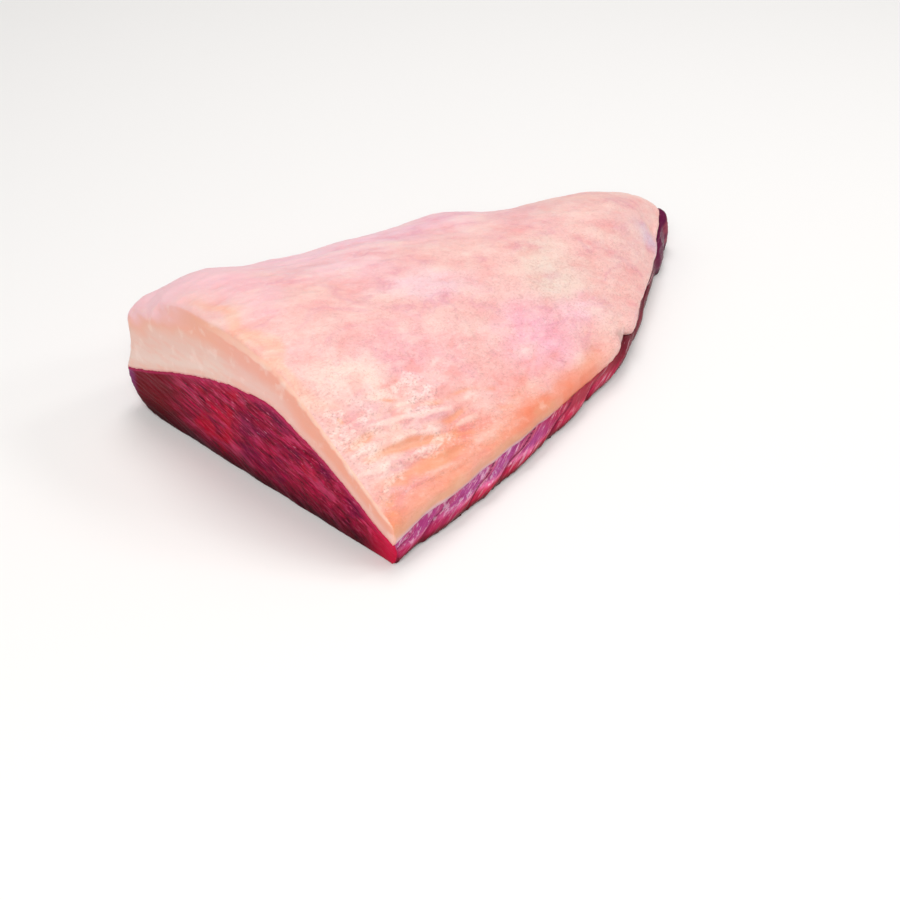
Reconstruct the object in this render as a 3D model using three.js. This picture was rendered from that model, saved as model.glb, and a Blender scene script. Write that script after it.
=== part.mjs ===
// A raw picanha: one whole rump cap, trimmed across its wide end, lying on its lean
// side with the fat up. Millimetres, +Z up.
//
// Frame: the flat cut across the wide end looks toward -Y, the pointed end is at +Y,
// the thin edge is on the +X side and the thick side, where the fat wraps down, is at -X.
// The origin is under the middle of the piece, on the plane it rests on.

import * as THREE from 'three';

// ---------------------------------------------------------------- driving sizes

const LENGTH = 274;            // from the cut to the tip of the lean
const FAT_LENGTH = 267;        // the fat stops a little short of the tip
const GAP = 0.3;               // between the lean and the fat that lies on it

// Each line runs along the piece: [distance from the cut, size].
// Across positions are measured from the long axis, heights from the resting plane.
const RIGHT_FOOT = line([0, 79.6], [36, 80.2], [66, 79.2], [108, 75], [143, 69.8], [163, 67.6],
  [182, 60.5], [208, 51], [240, 36], [256, 28.6], [265, 24], [270, 19.5], [LENGTH, 9]);
const RIGHT_EDGE = line([0, 80.4], [36, 81], [66, 80], [108, 76.4], [138, 72.2], [156, 69.6],
  [166, 67.4], [178, 62.4], [193, 55.8], [222, 42.2], [240, 34], [254, 28], [265, 22.5],
  [270, 19.5], [LENGTH, 12]);
const RIGHT_HEIGHT = line([0, 12.6], [45, 11.8], [100, 10.8], [138, 10.4], [165, 11.2],
  [180, 10.4], [200, 12], [240, 14], [250, 17.5], [258, 20], [266, 20.5], [270, 19],
  [LENGTH, 14]);

const LEFT_FOOT = line([0, -61.5], [60, -57], [110, -48], [156, -38], [190, -28], [228, -19],
  [252, -12], [266, -6], [270, -3.5], [LENGTH, 1]);
const LEFT_LIP = line([0, -80.2], [24, -81.4], [60, -76], [100, -67], [130, -61], [152, -56],
  [170, -48], [190, -39], [228, -28], [252, -19.5], [264, -13], [270, -8],
  [LENGTH, -2]);
const LIP_HEIGHT = line([0, 19.2], [60, 19], [120, 18], [180, 16], [230, 14], [260, 12.5],
  [LENGTH, 9.5]);

const LEAN_CROWN_ACROSS = line([0, 12], [80, 8], [150, 8], [220, 9], [LENGTH, 5]);
const LEAN_CROWN_HEIGHT = line([0, 44.8], [60, 43.4], [110, 39.5], [150, 35.5], [190, 31],
  [225, 27], [250, 24], [264, 22.4], [270, 20.4], [LENGTH, 15]);

const FAT_CROWN_ACROSS = line([0, -13.5], [50, -15], [100, -11], [150, -5], [190, 3], [225, 7],
  [250, 9], [FAT_LENGTH, 7]);
const FAT_CROWN_HEIGHT = line([0, 69], [25, 69.4], [45, 67.6], [85, 61.8], [120, 57],
  [155, 51.8], [190, 46.4], [225, 40], [248, 34], [260, 29.6], [FAT_LENGTH, 24.6]);
const RIM_THICKNESS = line([0, 7.5], [60, 7], [140, 6.4], [168, 6.4], [200, 5.4], [250, 4.6],
  [262, 3.8], [FAT_LENGTH, 2.4]);

// How full the fat's thick shoulder is: the power of its superellipse.
const SHOULDER_POWER = line([0, 2.35], [25, 2.9], [60, 2.5], [110, 2.1], [FAT_LENGTH, 2]);
// How far the fat's thin edge stands back from the lean's, near the tip.
const RIM_SETBACK = line([0, 0], [240, 0], [250, 2.4], [258, 3.4], [FAT_LENGTH, 5]);

// How full the sections are.
const LEAN_CROWN_POWER = 1.2;  // the lean's top falls off as a cosine to this power
const FAT_SLOPE_POWER = 1.03;  // the fat's long slope toward the thin edge, likewise
const WAIST_HOLLOW = 3.6;      // the shoulder's side draws in above its lip
const WAIST_PLACE = 0.63;      // below 1 this puts the hollow under the shoulder's middle
const RIM_BULGE = 1.2;         // the fat's thin rim swells over the lean's edge
const BELLY_BULGE = 1.9;       // power of the lean's rounded side under the fat's lip
const EDGE_ROUNDING = 2.6;     // the fat's top edge at the cut is rounded by this radius
const RIM_ROUNDING = 0.3;      // how much of that rounding the thin rim gets
const SIDE_ROUNDING = 0.4;     // and how much the thick side gets
const SIDE_BULGE = 1.6;        // the thin side swells between its foot and its edge
const NOTCH = { along: 171.5, halfWidth: 5, depth: 4 };  // a nick in the thin rim
const SOFT_REACH = 28;         // the fat's slope follows the thin edge's mean over this reach

// Soft swells of the fat: where each one stands, how far it reaches, how high it is.
const SWELLS = [
  { across: 27, along: 0, wide: 15, long: 80, height: 3.6 },
  { across: -36, along: 153, wide: 22, long: 19, height: 3.6 },
  { across: -12, along: 232, wide: 22, long: 24, height: 1.8 },
];

// How finely each piece is divided.
const STATIONS = 54;
const EVEN_SHARE = 0.55;       // the rest of the stations' spacing eases toward the tip
const CUT_CROWDING = 0.8;      // the fat's first stations stand this much closer, for its rounding
const LEAN_SIDE_STEPS = 3;
const LEAN_TOP_STEPS = 24;
const LEAN_BELLY_STEPS = 7;
const LEAN_BASE_STEPS = 12;
const FAT_SLOPE_STEPS = 15;
const FAT_SHOULDER_STEPS = 13;
const FAT_RIM_STEPS = 3;
const FAT_UNDER_STEPS = 24;

// ---------------------------------------------------------------- helpers

/** A smooth size along the piece through [distance, size] pairs, with no overshoot. */
function line(...knots) {
  const slopes = knots.map((knot, i) => {
    if (i === 0 || i === knots.length - 1) return 0;
    const before = (knot[1] - knots[i - 1][1]) / (knot[0] - knots[i - 1][0]);
    const after = (knots[i + 1][1] - knot[1]) / (knots[i + 1][0] - knot[0]);
    return before * after > 0 ? 2 / (1 / before + 1 / after) : 0;
  });
  slopes[0] = (knots[1][1] - knots[0][1]) / (knots[1][0] - knots[0][0]);
  const last = knots.length - 1;
  slopes[last] = (knots[last][1] - knots[last - 1][1]) / (knots[last][0] - knots[last - 1][0]);
  return (along) => {
    const i = Math.max(0, Math.min(last - 1, knots.findIndex((knot) => knot[0] > along) - 1));
    const [start, end] = along >= knots[last][0] ? [last - 1, last] : [i, i + 1];
    const span = knots[end][0] - knots[start][0];
    const t = THREE.MathUtils.clamp((along - knots[start][0]) / span, 0, 1);
    const t2 = t * t;
    const t3 = t2 * t;
    return knots[start][1] * (2 * t3 - 3 * t2 + 1) + slopes[start] * span * (t3 - 2 * t2 + t)
      + knots[end][1] * (3 * t2 - 2 * t3) + slopes[end] * span * (t3 - t2);
  };
}

/** Fall-off of a rounded back: 1 at the crown, 0 at the edge. */
function cosineFall(u, power) {
  return Math.pow(Math.max(0, Math.cos(THREE.MathUtils.clamp(u, 0, 1) * Math.PI / 2)), power);
}

/** A line's mean over a stretch either side of a place, for what doesn't follow its bends. */
function softened(size, along, reach) {
  const samples = [-1, -0.5, 0, 0.5, 1].map((step) => size(along + step * reach));
  return samples.reduce((sum, value) => sum + value, 0) / samples.length;
}

/** Steps 0..count as fractions 0..1, the last one left out when open is true. */
function fractions(count, open = true) {
  return Array.from({ length: open ? count : count + 1 }, (_, i) => i / count);
}

/** A closed body through rings of points that all have the same count, with flat ends. */
function loft(rings) {
  const size = rings[0].length;
  const positions = rings.flatMap((ring) => ring.flatMap((point) => point.toArray()));
  const index = [];
  for (let row = 0; row < rings.length - 1; row += 1) {
    for (let i = 0; i < size; i += 1) {
      const next = (i + 1) % size;
      const a = row * size + i;
      const b = row * size + next;
      index.push(a, b + size, b, a, a + size, b + size);
    }
  }
  const flat = (ring) => ring.map((point) => new THREE.Vector2(point.x, point.z));
  const lastRow = (rings.length - 1) * size;
  for (const [a, b, c] of THREE.ShapeUtils.triangulateShape(flat(rings[0]), [])) index.push(a, b, c);
  for (const [a, b, c] of THREE.ShapeUtils.triangulateShape(flat(rings.at(-1)), [])) {
    index.push(lastRow + a, lastRow + c, lastRow + b);
  }
  const geometry = new THREE.BufferGeometry();
  geometry.setAttribute('position', new THREE.Float32BufferAttribute(positions, 3));
  geometry.setIndex(index);
  geometry.computeVertexNormals();
  return geometry;
}

/** Distances from the cut to the end, closer together at the tip and, if asked, at the cut. */
function stations(end, cutCrowding = 0) {
  return fractions(STATIONS, false).map((t) => {
    const eased = Math.sin(t * Math.PI / 2);
    const placed = THREE.MathUtils.lerp(eased, t, EVEN_SHARE);
    return end * placed * (1 - cutCrowding * (1 - placed) ** 3);
  });
}

// ---------------------------------------------------------------- the lean meat

/** Height of the lean's top under the fat, across a section. */
function leanTop(across, along) {
  const crown = LEAN_CROWN_ACROSS(along);
  const right = across > crown;
  const edge = right ? RIGHT_EDGE(along) : LEFT_LIP(along);
  const edgeHeight = right ? RIGHT_HEIGHT(along) : LIP_HEIGHT(along);
  const u = (across - crown) / (edge - crown);
  return edgeHeight + (LEAN_CROWN_HEIGHT(along) - edgeHeight) * cosineFall(u, LEAN_CROWN_POWER);
}

/** One closed outline of the lean: thin side up, over the back, round the belly, base. */
function leanRing(along) {
  const foot = RIGHT_FOOT(along);
  const edge = RIGHT_EDGE(along);
  const lip = LEFT_LIP(along);
  const heel = LEFT_FOOT(along);
  const side = fractions(LEAN_SIDE_STEPS).map((t) => [
    THREE.MathUtils.lerp(foot, edge, t) + SIDE_BULGE * Math.sin(t * Math.PI),
    RIGHT_HEIGHT(along) * t]);
  const back = fractions(LEAN_TOP_STEPS).map((t) => {
    const across = THREE.MathUtils.lerp(edge, lip, t);
    return [across, leanTop(across, along)];
  });
  const belly = fractions(LEAN_BELLY_STEPS).map((t) => {
    const turn = t * Math.PI / 2;
    const out = Math.pow(Math.cos(turn), 2 / BELLY_BULGE);
    const down = Math.pow(Math.sin(turn), 2 / BELLY_BULGE);
    return [heel + (lip - heel) * out, LIP_HEIGHT(along) * (1 - down)];
  });
  const base = fractions(LEAN_BASE_STEPS).map((t) => [THREE.MathUtils.lerp(heel, foot, t), 0]);
  return [...side, ...back, ...belly, ...base].map(([x, z]) => new THREE.Vector3(x, along, z));
}

function makeLeanMeat() {
  return loft(stations(LENGTH).map(leanRing));
}

// ---------------------------------------------------------------- the fat cap

/** How far the fat's top edge is drawn down close to the cut. */
function cutRounding(along) {
  const into = Math.min(1, along / EDGE_ROUNDING);
  return EDGE_ROUNDING * (1 - Math.sqrt(1 - (1 - into) ** 2));
}

/** What the swells add to the fat's height at a place. */
function swell(across, along) {
  return SWELLS.reduce((sum, { across: x, along: y, wide, long, height }) => (
    sum + height * Math.exp(-(((across - x) / wide) ** 2) - ((along - y) / long) ** 2)), 0);
}

/** Height of the fat's top across a section, from the thin rim over to its crown. */
function fatSlope(across, along) {
  const crown = FAT_CROWN_ACROSS(along);
  const soft = softened(RIGHT_EDGE, along, SOFT_REACH) - RIM_SETBACK(along);
  const rounding = cutRounding(along);
  const rim = RIGHT_HEIGHT(along) + GAP + RIM_THICKNESS(along) - rounding * RIM_ROUNDING;
  const top = FAT_CROWN_HEIGHT(along) - rounding + swell(across, along);
  return rim + (top - rim) * cosineFall((across - crown) / (soft - crown), FAT_SLOPE_POWER);
}

/** The fat's thick side at a turn of 0 (crown) to 1 (lip), as [across, height]. */
function fatShoulder(turn, along) {
  const crown = FAT_CROWN_ACROSS(along);
  const rounding = cutRounding(along);
  const power = 2 / SHOULDER_POWER(along);
  const rise = Math.pow(Math.cos(turn * Math.PI / 2), power);
  const reach = (crown - LEFT_LIP(along) - rounding * SIDE_ROUNDING)
    * Math.pow(Math.sin(turn * Math.PI / 2), power);
  const across = crown - reach + WAIST_HOLLOW * Math.sin(Math.PI * rise ** WAIST_PLACE) ** 2;
  const lipHeight = LIP_HEIGHT(along) + GAP;
  const top = FAT_CROWN_HEIGHT(along) - rounding + swell(across, along);
  return [across, lipHeight + (top - lipHeight) * rise];
}

/** One closed outline of the fat: rim, long slope, crown, shoulder, lip, underside. */
function fatRing(along) {
  const nick = NOTCH.depth * Math.exp(-(((along - NOTCH.along) / NOTCH.halfWidth) ** 2));
  const edge = RIGHT_EDGE(along) - RIM_SETBACK(along) - nick;
  const lip = LEFT_LIP(along);
  const rimBottom = leanTop(edge, along) + GAP;
  const rimTop = fatSlope(edge, along);
  const rim = fractions(FAT_RIM_STEPS).map((t) => [
    edge + RIM_BULGE * Math.sin(t * Math.PI), THREE.MathUtils.lerp(rimBottom, rimTop, t)]);
  const slope = fractions(FAT_SLOPE_STEPS).map((t) => {
    const across = THREE.MathUtils.lerp(edge, FAT_CROWN_ACROSS(along), t);
    return [across, fatSlope(across, along)];
  });
  const shoulder = fractions(FAT_SHOULDER_STEPS).map((t) => fatShoulder(t, along));
  const under = fractions(FAT_UNDER_STEPS).map((t) => {
    const across = THREE.MathUtils.lerp(lip, edge, t);
    return [across, leanTop(across, along) + GAP];
  });
  return [...rim, ...slope, ...shoulder, ...under].map(([x, z]) => new THREE.Vector3(x, along, z));
}

function makeFatCap() {
  return loft(stations(FAT_LENGTH, CUT_CROWDING).map(fatRing));
}

// ---------------------------------------------------------------- the assembly

function mesh(name, geometry, color, roughness) {
  const material = new THREE.MeshStandardMaterial({ color, roughness, metalness: 0 });
  const piece = new THREE.Mesh(geometry, material);
  piece.name = name;
  return piece;
}

const picanha = new THREE.Group();
picanha.name = 'picanha';
picanha.add(
  mesh('lean_meat', makeLeanMeat(), 0x8e1c33, 0.42),
  mesh('fat_cap', makeFatCap(), 0xf3cdb9, 0.38),
);

const bounds = new THREE.Box3().setFromObject(picanha);
const middle = bounds.getCenter(new THREE.Vector3());
picanha.position.set(-middle.x, -middle.y, -bounds.min.z);
picanha.updateMatrixWorld(true);

export default picanha;
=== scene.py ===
"""Raw picanha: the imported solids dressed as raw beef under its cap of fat.

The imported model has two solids, the lean and the fat cap that is grown to it. Each is copied, gets
an even skin of small faces, is sculpted with the swells, folds and fibres that show on the real
piece, and is coloured as raw flesh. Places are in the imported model's frame: the cut across the wide
end looks toward -Y, the tip is at +Y, the thin edge is at +X and the top of the fat is up.
"""

import logging
from dataclasses import dataclass, field
from enum import Enum
from math import cos, radians, sin

import bpy
import numpy as np
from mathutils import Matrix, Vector, kdtree, noise
from mathutils.bvhtree import BVHTree


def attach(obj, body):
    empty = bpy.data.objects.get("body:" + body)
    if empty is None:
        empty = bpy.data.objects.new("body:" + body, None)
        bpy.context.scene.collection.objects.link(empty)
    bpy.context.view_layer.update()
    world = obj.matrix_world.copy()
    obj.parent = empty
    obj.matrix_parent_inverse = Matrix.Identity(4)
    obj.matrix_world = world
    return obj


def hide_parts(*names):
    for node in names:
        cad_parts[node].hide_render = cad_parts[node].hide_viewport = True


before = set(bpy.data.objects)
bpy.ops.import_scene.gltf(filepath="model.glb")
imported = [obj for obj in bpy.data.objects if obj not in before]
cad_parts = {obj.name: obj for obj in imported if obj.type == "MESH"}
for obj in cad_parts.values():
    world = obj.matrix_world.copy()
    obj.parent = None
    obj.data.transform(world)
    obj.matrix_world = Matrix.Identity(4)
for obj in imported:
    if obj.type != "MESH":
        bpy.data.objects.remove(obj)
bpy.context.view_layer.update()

MM = 0.001
CUT_Y = -137.0  # the plane of the cut across the wide end, in mm

log = logging.getLogger("picanha")

Array = np.ndarray
Tree = bpy.types.NodeTree
Node = bpy.types.Node
Socket = bpy.types.NodeSocket
Pair = tuple[float, float]
Triple = tuple[float, float, float]
Colour = tuple[float, float, float, float]
Look = tuple[float, float, float, float]  # x, y, z and the least cosine to that way
Span = tuple[float, float]  # where a soft step starts and where it is full
Bound = tuple[str, float, float]  # a pattern, and its values where a glaze is clear and full

THIN_SIDE: Look = (1, 0, -0.4, 0.5)
TOP: Look = (0, 0, 1, 0.5)
ON_CUT: Bound = ("cut", 0.0, 1.0)
OFF_CUT: Bound = ("cut", 1.0, 0.0)


class Slot(Enum):
    """The record's material slots."""

    LEAN = "lean_meat"
    FAT = "beef_fat"


class MixSocket:
    """Where a Mix node for colours keeps its sockets."""

    SHARE = 0
    FIRST = 6
    SECOND = 7
    RESULT = 2


# ------------------------------------------------------------------ helpers


def linear(hex_colour: str) -> Colour:
    """Turns an sRGB colour to the linear one that nodes take.

    Args:
        hex_colour: the colour as "#RRGGBB".

    Returns:
        Linear red, green and blue, and an alpha of 1.
    """
    channels = [int(hex_colour[i : i + 2], 16) / 255 for i in (1, 3, 5)]
    red, green, blue = (
        c / 12.92 if c <= 0.04045 else ((c + 0.055) / 1.055) ** 2.4 for c in channels
    )
    return red, green, blue, 1.0


def add_node(tree: Tree, kind: str, inputs: dict | None = None, **settings: object) -> Node:
    """Adds a node with its settings and links.

    Args:
        tree: the node tree that gets it.
        kind: Blender's name for the kind of node.
        inputs: by socket name or number, the value it gets or the output it is linked from.
        settings: the node's own settings.

    Returns:
        The new node.
    """
    node = tree.nodes.new(kind)
    for name, value in settings.items():
        setattr(node, name, value)
    for socket, value in (inputs or {}).items():
        if isinstance(value, Socket):
            tree.links.new(value, node.inputs[socket])
        else:
            node.inputs[socket].default_value = value
    return node


def rise(value: Array, low: float, high: float) -> Array:
    """A smooth step.

    Args:
        value: the values to judge.
        low: where the step starts, with 0.
        high: where it ends, with 1. It may be below low, and then the step falls.

    Returns:
        A share from 0 to 1 for each value.
    """
    share = np.clip((value - low) / (high - low), 0.0, 1.0)
    return share * share * (3.0 - 2.0 * share)


@dataclass(frozen=True)
class Lumps:
    """Soft noise with lumps of a real size."""

    size_mm: tuple[float, ...]  # along each coordinate
    seed: int
    octaves: int = 1
    turn_deg: float = 0.0  # seen from above
    step: Span | None = None  # makes patches: 0 below the first value and 1 above the second

    def at(self, places: Array) -> Array:
        """Measures the noise.

        Args:
            places: one row of two or three coordinates in mm for each point.

        Returns:
            A value from about -1 to 1 for each point, or a share in patches.
        """
        turned = (places[:, 0] + 1j * places[:, 1]) * np.exp(-1j * radians(self.turn_deg))
        spots = np.zeros((len(places), 3))
        spots[:, : places.shape[1]] = places
        spots[:, 0], spots[:, 1] = turned.real, turned.imag
        spots[:, : places.shape[1]] /= np.asarray(self.size_mm)
        spots += noise_shift(self.seed)
        values = np.array([noise.fractal(spot, 0.9, 2.0, self.octaves) for spot in spots])
        return values if self.step is None else rise(values, *self.step)


@dataclass(frozen=True)
class Beads:
    """Rounded beads with creases between them, longer along the piece than across it."""

    size_mm: float  # across the piece
    squash: float  # their width as a share of their length
    seed: int

    def at(self, places: Array) -> Array:
        """Measures the beads.

        Args:
            places: one row of coordinates in mm for each point.

        Returns:
            For each point a value from about 1 on a bead to -0.7 between beads.
        """
        spots = places * (1.0, self.squash, 1.0) / self.size_mm + noise_shift(self.seed)
        return 1 - 2 * np.array([noise.voronoi(spot)[0][0] for spot in spots])


def noise_shift(seed: int) -> Array:
    """Picks the part of the noise that a seed stands for."""
    return np.random.default_rng(seed).uniform(-90.0, 90.0, 3)


def near_cut(places: Array, span_mm: Span) -> Array:
    """How near places are to the cut, as a share; the span is measured back from its plane."""
    return rise(places[:, 1], CUT_Y + span_mm[0], CUT_Y + span_mm[1])


def distance(places: Array, mesh: bpy.types.Mesh, looks: Look | None = None) -> Array:
    """How far places are from a mesh.

    Args:
        places: one row of coordinates in mm for each point.
        mesh: a mesh in metres.
        looks: if given, only faces that look this way count.

    Returns:
        A distance in mm for each point.
    """
    faces = [
        tuple(face.vertices)
        for face in mesh.polygons
        if looks is None or face.normal.dot(looks[:3]) > looks[3]
    ]
    tree = BVHTree.FromPolygons([vertex.co for vertex in mesh.vertices], faces)
    return np.array([tree.find_nearest(Vector(place * MM))[3] for place in places]) / MM


def rows(items: bpy.types.bpy_prop_collection, name: str) -> Array:
    """Reads three numbers of each item, one row for an item."""
    flat = np.empty(len(items) * 3, dtype=np.float32)
    items.foreach_get(name, flat)
    return flat.reshape(-1, 3).astype(float)


@dataclass(frozen=True)
class Spot:
    """A soft oval zone, seen from above."""

    centre_mm: Pair
    half_mm: Pair
    turn_deg: float = 0.0

    def share(self, places: Array) -> Array:
        """How far each place is inside the spot.

        Args:
            places: one row of coordinates in mm for each point.

        Returns:
            1 at the spot's middle, falling to 0 at its edge.
        """
        turn = np.exp(1j * radians(-self.turn_deg))
        offset = (places[:, 0] - self.centre_mm[0] + 1j * (places[:, 1] - self.centre_mm[1])) * turn
        reach = np.hypot(offset.real / self.half_mm[0], offset.imag / self.half_mm[1])
        return rise(reach, 1.0, 0.35)


@dataclass(frozen=True)
class Fold:
    """A soft crease pressed into the cap, seen from above."""

    start_mm: Pair
    end_mm: Pair
    width_mm: float
    depth_mm: float

    def press(self, places: Array) -> Array:
        """How deep the crease is at each place.

        Args:
            places: one row of coordinates in mm for each point.

        Returns:
            A depth in mm, most along the middle of the crease.
        """
        spots = places[:, 0] + 1j * places[:, 1]
        start = complex(*self.start_mm)
        run = complex(*self.end_mm) - start
        share = np.clip(((spots - start) / run).real, 0.0, 1.0)
        away = np.abs(spots - start - share * run)
        fade = np.sin(np.pi * np.clip(share, 0.1, 0.9))
        return self.depth_mm * fade * np.exp(-((away / self.width_mm) ** 2))


# ------------------------------------------------------------------ colouring


@dataclass(frozen=True)
class Grain:
    """A noise pattern of a real size, on the piece's axes or along its fibres."""

    size_mm: Triple
    detail: float = 2.0
    roughness: float = 0.5
    distortion: float = 0.0
    on_fibres: bool = False
    turn_deg: float = 0.0  # seen from above

    def add(self, tree: Tree, place: Socket, flow: Socket | None = None) -> Node:
        """Adds the pattern to a material.

        Args:
            tree: the material's nodes.
            place: the place on the piece, in metres.
            flow: the place along and across the fibres, in mm.

        Returns:
            The noise node, with the pattern's value and colour.
        """
        unit = 1.0 if self.on_fibres else MM
        axes = {
            "Vector": flow if self.on_fibres else place,
            "Rotation": (0.0, 0.0, radians(self.turn_deg)),
            "Scale": tuple(size * unit for size in self.size_mm),
        }
        scaled = add_node(tree, "ShaderNodeMapping", axes, vector_type="TEXTURE")
        texture = {
            "Vector": scaled.outputs[0],
            "Scale": 1.0,
            "Detail": self.detail,
            "Roughness": self.roughness,
            "Distortion": self.distortion,
        }
        return add_node(tree, "ShaderNodeTexNoise", texture)


@dataclass(frozen=True)
class Glaze:
    """A thin layer of colour over the flesh, within all of its bounds."""

    colour: str
    strength: float
    bounds: tuple[Bound, ...]

    def lay(self, tree: Tree, colour: Socket, patterns: dict[str, Socket]) -> Socket:
        """Lays the glaze over what is there.

        Args:
            tree: the material's nodes.
            colour: the colour so far.
            patterns: the values that bounds name.

        Returns:
            The colour with the glaze.
        """
        share: Socket | float = self.strength
        for pattern, clear, full in self.bounds:
            step = {"Value": patterns[pattern], "From Min": clear, "From Max": full}
            step |= {"To Min": 0.0, "To Max": 1.0 if isinstance(share, Socket) else share}
            part = add_node(tree, "ShaderNodeMapRange", step, interpolation_type="SMOOTHSTEP")
            if isinstance(share, Socket):
                both = {0: share, 1: part.outputs[0]}
                part = add_node(tree, "ShaderNodeMath", both, operation="MULTIPLY")
            share = part.outputs[0]
        mix = {MixSocket.SHARE: share, MixSocket.FIRST: colour}
        mix[MixSocket.SECOND] = linear(self.colour)
        return add_node(tree, "ShaderNodeMix", mix, data_type="RGBA").outputs[MixSocket.RESULT]


def layers(*rows: tuple) -> tuple[Glaze, ...]:
    """Makes glazes from rows of a colour, a strength and the bounds."""
    return tuple(Glaze(colour, strength, tuple(bounds)) for colour, strength, *bounds in rows)


@dataclass(frozen=True)
class Tint:
    """A broad oval of another colour, seen from above, with a drifting edge."""

    centre_mm: Pair
    half_mm: Pair
    colour: str
    strength: float
    turn_deg: float = 0.0

    def reach(self, tree: Tree, drifted: Socket) -> Socket:
        """Measures how far out from the oval's middle the surface is.

        Args:
            tree: the material's nodes.
            drifted: the place on the piece, moved about by noise.

        Returns:
            0 at the middle and 1 at the edge.
        """
        oval = {
            "Vector": drifted,
            "Location": (self.centre_mm[0] * MM, self.centre_mm[1] * MM, 0.0),
            "Rotation": (0.0, 0.0, radians(self.turn_deg)),
            "Scale": (self.half_mm[0] * MM, self.half_mm[1] * MM, 1e6),  # height doesn't count
        }
        inside = {0: add_node(tree, "ShaderNodeMapping", oval, vector_type="TEXTURE").outputs[0]}
        return add_node(tree, "ShaderNodeVectorMath", inside, operation="LENGTH").outputs["Value"]


@dataclass(frozen=True, kw_only=True)
class FleshFinish:
    """What both kinds of flesh share: grains, tints, glazes and a moist skin."""

    name: str
    base: str
    grains: dict[str, Grain]
    attributes: tuple[str, ...]
    glazes: tuple[Glaze, ...]
    tints: tuple[Tint, ...] = ()
    drift: Grain = Grain((26, 26, 26), detail=3)  # moves the tints' edges about
    drift_mm: Triple = (26, 40, 0)
    bumps: tuple[tuple[str, float], ...]  # a grain and its depth in mm
    roughness: Pair  # where it is least and most wet
    ior: float = 1.45
    specular: float
    coat: float
    coat_roughness: float
    glow: float
    glow_mm: float
    glow_spread: Triple

    def make(self) -> bpy.types.Material:
        """Builds the material.

        Returns:
            The material, with its nodes.
        """
        material = bpy.data.materials.new(self.name)
        material.use_nodes = True
        tree = material.node_tree
        tree.nodes.clear()
        place = add_node(tree, "ShaderNodeTexCoord").outputs["Object"]
        patterns = self.patterns(tree, place)
        colour = self.tinted(tree, place)
        for layer in self.glazes:
            colour = layer.lay(tree, colour, patterns)
        low, high = self.roughness
        by_wetness = {"Value": patterns["wet"], "To Min": low, "To Max": high}
        skin = {
            "Base Color": colour,
            "Normal": self.bumped(tree, patterns),
            "Roughness": add_node(tree, "ShaderNodeMapRange", by_wetness).outputs[0],
            "IOR": self.ior,
            "Specular IOR Level": self.specular,
            "Subsurface Weight": self.glow,
            "Subsurface Radius": self.glow_spread,
            "Subsurface Scale": self.glow_mm * MM,
            "Coat Weight": self.coat,
            "Coat Roughness": self.coat_roughness,
        }
        shader = add_node(tree, "ShaderNodeBsdfPrincipled", skin)
        add_node(tree, "ShaderNodeOutputMaterial", {"Surface": shader.outputs["BSDF"]})
        return material

    def patterns(self, tree: Tree, place: Socket) -> dict[str, Socket]:
        """Adds every pattern that a glaze can be bound by.

        Args:
            tree: the material's nodes.
            place: the place on the piece.

        Returns:
            By name: the axes in metres, the numbers kept on the mesh, and the grains.
        """
        axes = add_node(tree, "ShaderNodeSeparateXYZ", {"Vector": place}).outputs
        patterns = {"x": axes[0], "y": axes[1], "z": axes[2]}
        for name in self.attributes:
            kept = add_node(tree, "ShaderNodeAttribute", attribute_name=name)
            patterns[name] = kept.outputs["Fac"]
        flow = None
        if "along_mm" in patterns:
            both = {"X": patterns["along_mm"], "Y": patterns["across_mm"]}
            flow = add_node(tree, "ShaderNodeCombineXYZ", both).outputs[0]
        for name, grain in self.grains.items():
            patterns[name] = grain.add(tree, place, flow).outputs[0]
        return patterns

    def tinted(self, tree: Tree, place: Socket) -> Socket:
        """Lays the base colour and the broad tints.

        Args:
            tree: the material's nodes.
            place: the place on the piece.

        Returns:
            The colour so far.
        """
        ground = add_node(tree, "ShaderNodeRGB").outputs[0]
        ground.default_value = linear(self.base)
        if not self.tints:
            return ground
        cloud = self.drift.add(tree, place)
        middle = {0: cloud.outputs["Color"], 1: (0.5, 0.5, 0.5)}
        centred = add_node(tree, "ShaderNodeVectorMath", middle, operation="SUBTRACT").outputs[0]
        moved = {0: centred, 1: tuple(d * MM for d in self.drift_mm), 2: place}
        drifted = add_node(tree, "ShaderNodeVectorMath", moved, operation="MULTIPLY_ADD").outputs[0]
        colour = ground
        for tint in self.tints:
            reach = {"reach": tint.reach(tree, drifted)}
            layer = Glaze(tint.colour, tint.strength, (("reach", 1.0, 0.15),))
            colour = layer.lay(tree, colour, reach)
        return colour

    def bumped(self, tree: Tree, patterns: dict[str, Socket]) -> Socket:
        """Adds the grain that is too fine for the mesh.

        Args:
            tree: the material's nodes.
            patterns: the values that the bumps name.

        Returns:
            The shading normal.
        """
        height: Socket | float = 0.0
        for name, depth_mm in self.bumps:
            raised = {0: patterns[name], 1: depth_mm * MM, 2: height}
            height = add_node(tree, "ShaderNodeMath", raised, operation="MULTIPLY_ADD").outputs[0]
        bump = {"Height": height, "Strength": 1.0, "Distance": 1.0}
        return add_node(tree, "ShaderNodeBump", bump).outputs[0]


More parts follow.
